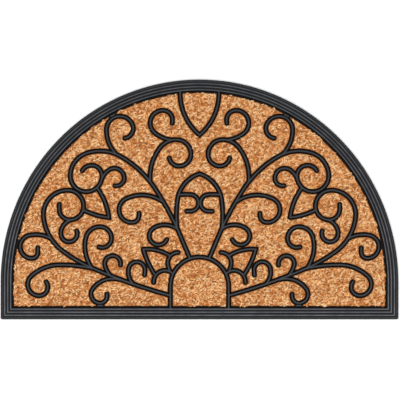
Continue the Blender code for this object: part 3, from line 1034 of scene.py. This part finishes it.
    # Only the points clear of the lines and inside this band are planted.
    across = add(tree, "ShaderNodeSeparateXYZ", {"Vector": here}, out="X")
    clear, past, before = (
        add(tree, "FunctionNodeCompare", {"A": value, "B": given[bound]}, data_type="FLOAT", operation=test)
        for value, bound, test in ((distance, "Middle clear", "GREATER_THAN"),
                                   (across, "From", "GREATER_EQUAL"), (across, "To", "LESS_THAN")))
    inside = add(tree, "FunctionNodeBooleanMath", {0: past, 1: before}, operation="AND")
    chosen = add(tree, "FunctionNodeBooleanMath", {0: inside, 1: clear}, operation="AND")

    facing = add(tree, "FunctionNodeAlignRotationToVector", {"Vector": way}, axis="X", pivot_axis="Z")
    rocking = add(tree, "FunctionNodeRandomValue", {
        "Min": -ROCKS_BY, "Max": ROCKS_BY, "Seed": 3}, out="Value", data_type="FLOAT_VECTOR")
    rocked = add(tree, "FunctionNodeRotateRotation", {
        "Rotation": facing, "Rotate By": add(tree, "FunctionNodeEulerToRotation", {"Euler": rocking})},
        rotation_space="LOCAL")
    shapes = add(tree, "GeometryNodeCollectionInfo", {
        "Collection": given["Shapes"], "Separate Children": True, "Reset Children": True})
    last_shape = add(tree, "ShaderNodeMath", {0: given["Shape count"], 1: 1.0}, operation="SUBTRACT")
    pick = add(tree, "FunctionNodeRandomValue", {
        "Min": 0, "Max": last_shape, "Seed": 4}, out="Value", data_type="INT")
    planted = add(tree, "GeometryNodeInstanceOnPoints", {
        "Points": points, "Selection": chosen, "Instance": shapes, "Pick Instance": True,
        "Instance Index": pick, "Rotation": rocked, "Scale": size})
    # The same draw sets each tuft's height and its tone: lower tufts are painted darker, as painted
    # shade deep in the pile, over tone that differs from tuft to tuft.
    shade = add(tree, "FunctionNodeRandomValue", {
        "Min": 0.0, "Max": 1.0, "Seed": 5}, out="Value", data_type="FLOAT")
    uneven = add(tree, "ShaderNodeMapRange", {
        "Value": shade, "To Min": STANDS_BY[0] * MM, "To Max": STANDS_BY[1] * MM})
    lift = add(tree, "ShaderNodeMath", {0: given["Lift"], 1: uneven}, operation="ADD")
    raised = add(tree, "GeometryNodeTranslateInstances", {
        "Instances": planted, "Translation": add(tree, "ShaderNodeCombineXYZ", {"Z": lift}),
        "Local Space": False})
    shaded = add(tree, "GeometryNodeStoreNamedAttribute", {
        "Geometry": raised, "Name": "tuft_shade", "Value": shade}, data_type="FLOAT", domain="INSTANCE")
    numbered = add(tree, "GeometryNodeStoreNamedAttribute", {
        "Geometry": shaded, "Name": "tuft_number", "Value": add(tree, "GeometryNodeInputIndex")},
        data_type="FLOAT", domain="INSTANCE")
    real = add(tree, "GeometryNodeRealizeInstances", {"Geometry": numbered})

    # Each tuft has a square cell of its own in the texture map.
    number = add(tree, "GeometryNodeInputNamedAttribute", {"Name": "tuft_number"}, data_type="FLOAT")
    cell = add(tree, "GeometryNodeInputNamedAttribute", {"Name": "cell"}, data_type="FLOAT_VECTOR")
    column = add(tree, "ShaderNodeMath", {0: number, 1: given["Cells"]}, operation="MODULO")
    share = add(tree, "ShaderNodeMath", {0: number, 1: given["Cells"]}, operation="DIVIDE")
    line = add(tree, "ShaderNodeMath", {0: share}, operation="FLOOR")
    corner = add(tree, "ShaderNodeVectorMath", {
        0: cell, 1: add(tree, "ShaderNodeCombineXYZ", {"X": column, "Y": line})}, operation="ADD")
    shrink = add(tree, "ShaderNodeMath", {0: 1.0, 1: given["Cells"]}, operation="DIVIDE")
    mapped = add(tree, "GeometryNodeStoreNamedAttribute", {
        "Geometry": real, "Name": "OFBake", "Value": add(tree, "ShaderNodeVectorMath", {
            0: corner, "Scale": shrink}, operation="SCALE")}, data_type="FLOAT2", domain="CORNER")
    return end_tree(tree, mapped, given["Material"])


# Coconut fibre, cleaned and brushed. It is straw to golden brown, each tuft a little different, and
# dull, with a thin natural wax that gives it almost no gloss. Towards the roots it turns red-brown,
# partly dirt and partly painted shade deep in the pile.
FIBRE_DARK = "A25A28"
FIBRE_GOLD = "E49C56"
FIBRE_TAN = "F8BC7E"
FIBRE_STRAW = "FFDCA8"
FIBRE_RUST = "CC7638"
ROOT_DIRT_AND_SHADE = "905228"
FLECK_SIZE = 1.5
FIBRE_RELIEF = 0.1
ROOT_BELOW = 6.2
ROOT_DARKENING_ENDS = 8.1

# Whole patches are paler or darker, longer across the mat than along it.
PATCH_SIZE = 12.0
PATCH_SHAPE = (0.55, 1.0, 1.0)

# About one tuft in eight is rustier than its neighbours, picked by the last digits of its shade.
RUST_DIGITS = 37.0
RUST_FROM = 0.86
RUST_FULL = 0.9
RUST_DEPTH = 0.22

coconut_fibre, tree, shader, place = new_material("coconut_fibre", IOR=1.5, Specular_IOR_Level=0.25)
tuft_shade = add(tree, "ShaderNodeAttribute", out="Fac", attribute_name="tuft_shade")
fibre_shade = add(tree, "ShaderNodeAttribute", out="Fac", attribute_name="fibre_shade")
flecks = add(tree, "ShaderNodeTexNoise", {
    "Vector": place, "Scale": 1 / (FLECK_SIZE * MM), "Detail": 3.0, "Roughness": 0.6}, out="Fac")
shade = add(tree, "ShaderNodeMix", {"Factor": 0.2, "A": tuft_shade, "B": fibre_shade})
shade = add(tree, "ShaderNodeMix", {"Factor": 0.1, "A": shade, "B": flecks})
wide = add(tree, "ShaderNodeVectorMath", {0: place, 1: PATCH_SHAPE}, operation="MULTIPLY")
patches = add(tree, "ShaderNodeTexNoise", {
    "Vector": wide, "Scale": 1 / (PATCH_SIZE * MM), "Detail": 2.0}, out="Fac")
patches = add(tree, "ShaderNodeMapRange", {"Value": patches, "From Min": 0.3, "From Max": 0.7})
shade = add(tree, "ShaderNodeMix", {"Factor": 0.04, "A": shade, "B": patches})
colour = ramp(tree, shade, ((0.18, FIBRE_DARK), (0.38, FIBRE_GOLD), (0.56, FIBRE_TAN), (0.8, FIBRE_STRAW)))
chance = add(tree, "ShaderNodeMath", {0: tuft_shade, 1: RUST_DIGITS}, operation="MULTIPLY")
chance = add(tree, "ShaderNodeMath", {0: chance}, operation="FRACT")
rusty = add(tree, "ShaderNodeMapRange", {
    "Value": chance, "From Min": RUST_FROM, "From Max": RUST_FULL, "To Max": RUST_DEPTH})
colour = add(tree, "ShaderNodeMix", {
    "Factor": rusty, "A": colour, "B": linear(FIBRE_RUST)}, data_type="RGBA")
# Darker towards the roots: dirt, and painted shade deep in the pile.
height = add(tree, "ShaderNodeSeparateXYZ", {"Vector": place}, out="Z")
clear_of_dark_base = add(tree, "ShaderNodeMapRange", {
    "Value": height, "From Min": ROOT_BELOW * MM, "From Max": ROOT_DARKENING_ENDS * MM},
    interpolation_type="SMOOTHSTEP")
colour = add(tree, "ShaderNodeMix", {
    "Factor": clear_of_dark_base, "A": linear(ROOT_DIRT_AND_SHADE), "B": colour}, data_type="RGBA")
dulled = add(tree, "ShaderNodeMapRange", {"Value": flecks, "To Min": 0.72, "To Max": 0.9})
bump = add(tree, "ShaderNodeBump", {"Height": flecks, "Strength": 0.3, "Distance": FIBRE_RELIEF * MM})
finish(tree, shader, colour, dulled, bump)

planter = plant_tree()
border_run = ring_run(ragged(inset(mat_outline(), BORDER_WIDTH + FIELD_GAP - BORDER_CLEAR)))
keep_clear = line_object("keep_clear", rib_runs(LINE_HALF_WIDTH, webs=False) + [border_run])
# Only the upper face of a low prism is planted.
pile_field = cutting_prism("pile_field", inset(mat_outline(), BORDER_WIDTH + FIELD_GAP), -1, 0)
with opened(pile_field) as field:
    others = [face for face in field.faces if face.normal.z < 0.5]
    bmesh.ops.delete(field, geom=others, context="FACES")
planting = {
    "Lines": keep_clear, "Middle clear": MIDDLE_CLEAR * MM, "End clear": END_CLEAR * MM,
    "Grain": PILE_GRAIN, "Material": coconut_fibre}
tuft_shapes = shape_set("tuft", TUFT_SHAPES, build_tuft)
for number, band in enumerate(PILE_BANDS):
    start = (number - len(PILE_BANDS) / 2) * BAND_WIDTH
    tufts = grown(f"coir_pile_{band}", pile_field, planter, planting | {
        "Shapes": tuft_shapes, "Shape count": TUFT_SHAPES, "Spacing": TUFT_SPACING * MM,
        "Lift": TUFT_LIFT * MM, "Reach": TUFT_LENGTH / 2 * MM, "Swirl": SWIRL_SIZE * MM,
        "From": start * MM, "To": (start + BAND_WIDTH) * MM, "Cells": TUFT_CELLS, "Seed": PILE_SEED})
    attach(tufts, "root")
discard(*tuft_shapes.objects)


# Loose fibres. Brushing leaves longer single fibres lying on top of the tufts, thin and bowed, a
# little paler or darker than the rest.
LOOSE_SHAPES = 6
LOOSE_LENGTH = 11.0
LOOSE_SPACING = 7.5
LOOSE_LIFT = 8.8
LOOSE_RADIUS = 0.16
LOOSE_STEPS = 5
LOOSE_BOW = 2.2
LOOSE_WAVE = 0.8
LOOSE_RISE = 1.3
LOOSE_SINK = 0.9
LOOSE_SWIRL = 0.3 * SWIRL_SIZE
LOOSE_CELLS = 60.0


def build_loose(shape, draw):
    """One long fibre, bowed sideways and upwards, with both its ends dipping into the pile."""
    bow = draw.uniform(-LOOSE_BOW, LOOSE_BOW)
    wave = draw.uniform(-LOOSE_WAVE, LOOSE_WAVE)
    path = []
    for i in range(LOOSE_STEPS):
        share = i / (LOOSE_STEPS - 1)
        path.append(Vector((
            LOOSE_LENGTH * (share - 0.5), bow * sin(pi * share) + wave * sin(2 * pi * share),
            LOOSE_RISE * sin(pi * share) - LOOSE_SINK)))
    fibre(shape, path, LOOSE_RADIUS, 0, 1, draw.random())


loose_shapes = shape_set("loose_fibre", LOOSE_SHAPES, build_loose)
loose_fibres = grown("loose_fibres", pile_field, planter, planting | {
    "Shapes": loose_shapes, "Shape count": LOOSE_SHAPES, "Spacing": LOOSE_SPACING * MM,
    "Lift": LOOSE_LIFT * MM, "Reach": LOOSE_LENGTH / 2 * MM, "Swirl": LOOSE_SWIRL * MM,
    "From": -HALF_WIDTH * MM, "To": HALF_WIDTH * MM, "Cells": LOOSE_CELLS, "Seed": PILE_SEED + 1})
discard(*loose_shapes.objects, pile_field, keep_clear)
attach(loose_fibres, "root")


# The floor is a wide sheet of white card, lit from overhead by a soft light as broad as a studio's
# ceiling, so that the mat lies on plain white with hardly a shadow.
CARD_RADIUS = 20.0
CARD_WHITE = "F4F4F3"
CARD_PALE = "F8F8F8"
CARD_GAP = 0.2
CARD_SIDES = 96
CARD_TOOTH = 40.0

white_card, tree, shader, place = new_material(
    "white_card", IOR=1.45, Roughness=0.9, Specular_IOR_Level=0.1)
tooth = add(tree, "ShaderNodeTexNoise", {
    "Vector": place, "Scale": 1 / (CARD_TOOTH * MM), "Detail": 3.0}, out="Fac")
colour = ramp(tree, tooth, ((0.3, CARD_WHITE), (0.7, CARD_PALE)))
tree.links.new(colour, shader.inputs["Base Color"])

shape = bmesh.new()
bmesh.ops.create_circle(shape, cap_ends=True, segments=CARD_SIDES, radius=CARD_RADIUS)
for vertex in shape.verts:
    vertex.co.z = -CARD_GAP * MM
mesh = bpy.data.meshes.new("floor_card")
shape.to_mesh(mesh)
shape.free()
mesh.materials.append(white_card)
link("floor_card", mesh)

SOFT_LIGHT = 3.1
SOFT_SPREAD = 50
SOFT_TILT = (4, -3, 0)
SKY = 0.32

lamp = bpy.data.lights.new("overhead_softbox", "SUN")
lamp.energy = SOFT_LIGHT
lamp.angle = radians(SOFT_SPREAD)
softbox = bpy.data.objects.new("overhead_softbox", lamp)
softbox.rotation_euler = [radians(tilt) for tilt in SOFT_TILT]
bpy.context.scene.collection.objects.link(softbox)
world = bpy.data.worlds.new("studio")
world.use_nodes = True
sky = world.node_tree.nodes["Background"]
sky.inputs["Color"].default_value = (1, 1, 1, 1)
sky.inputs["Strength"].default_value = SKY
bpy.context.scene.world = world
bpy.context.scene.view_settings.view_transform = "Standard"

# The camera looks straight down from high up, so the mat shows square and almost without perspective.
CAMERA_X = 0.9
CAMERA_Y = -1.04
CAMERA_HEIGHT = 6293.0
CAMERA_LENS = 300.0
SENSOR_WIDTH = 36.0
CAMERA_REACH = 60.0

lens = bpy.data.cameras.new("overhead_camera")
lens.lens = CAMERA_LENS
lens.sensor_width = SENSOR_WIDTH
lens.clip_end = CAMERA_REACH
camera = bpy.data.objects.new("overhead_camera", lens)
camera.location = (CAMERA_X * MM, CAMERA_Y * MM, CAMERA_HEIGHT * MM)
bpy.context.scene.collection.objects.link(camera)
bpy.context.scene.camera = camera
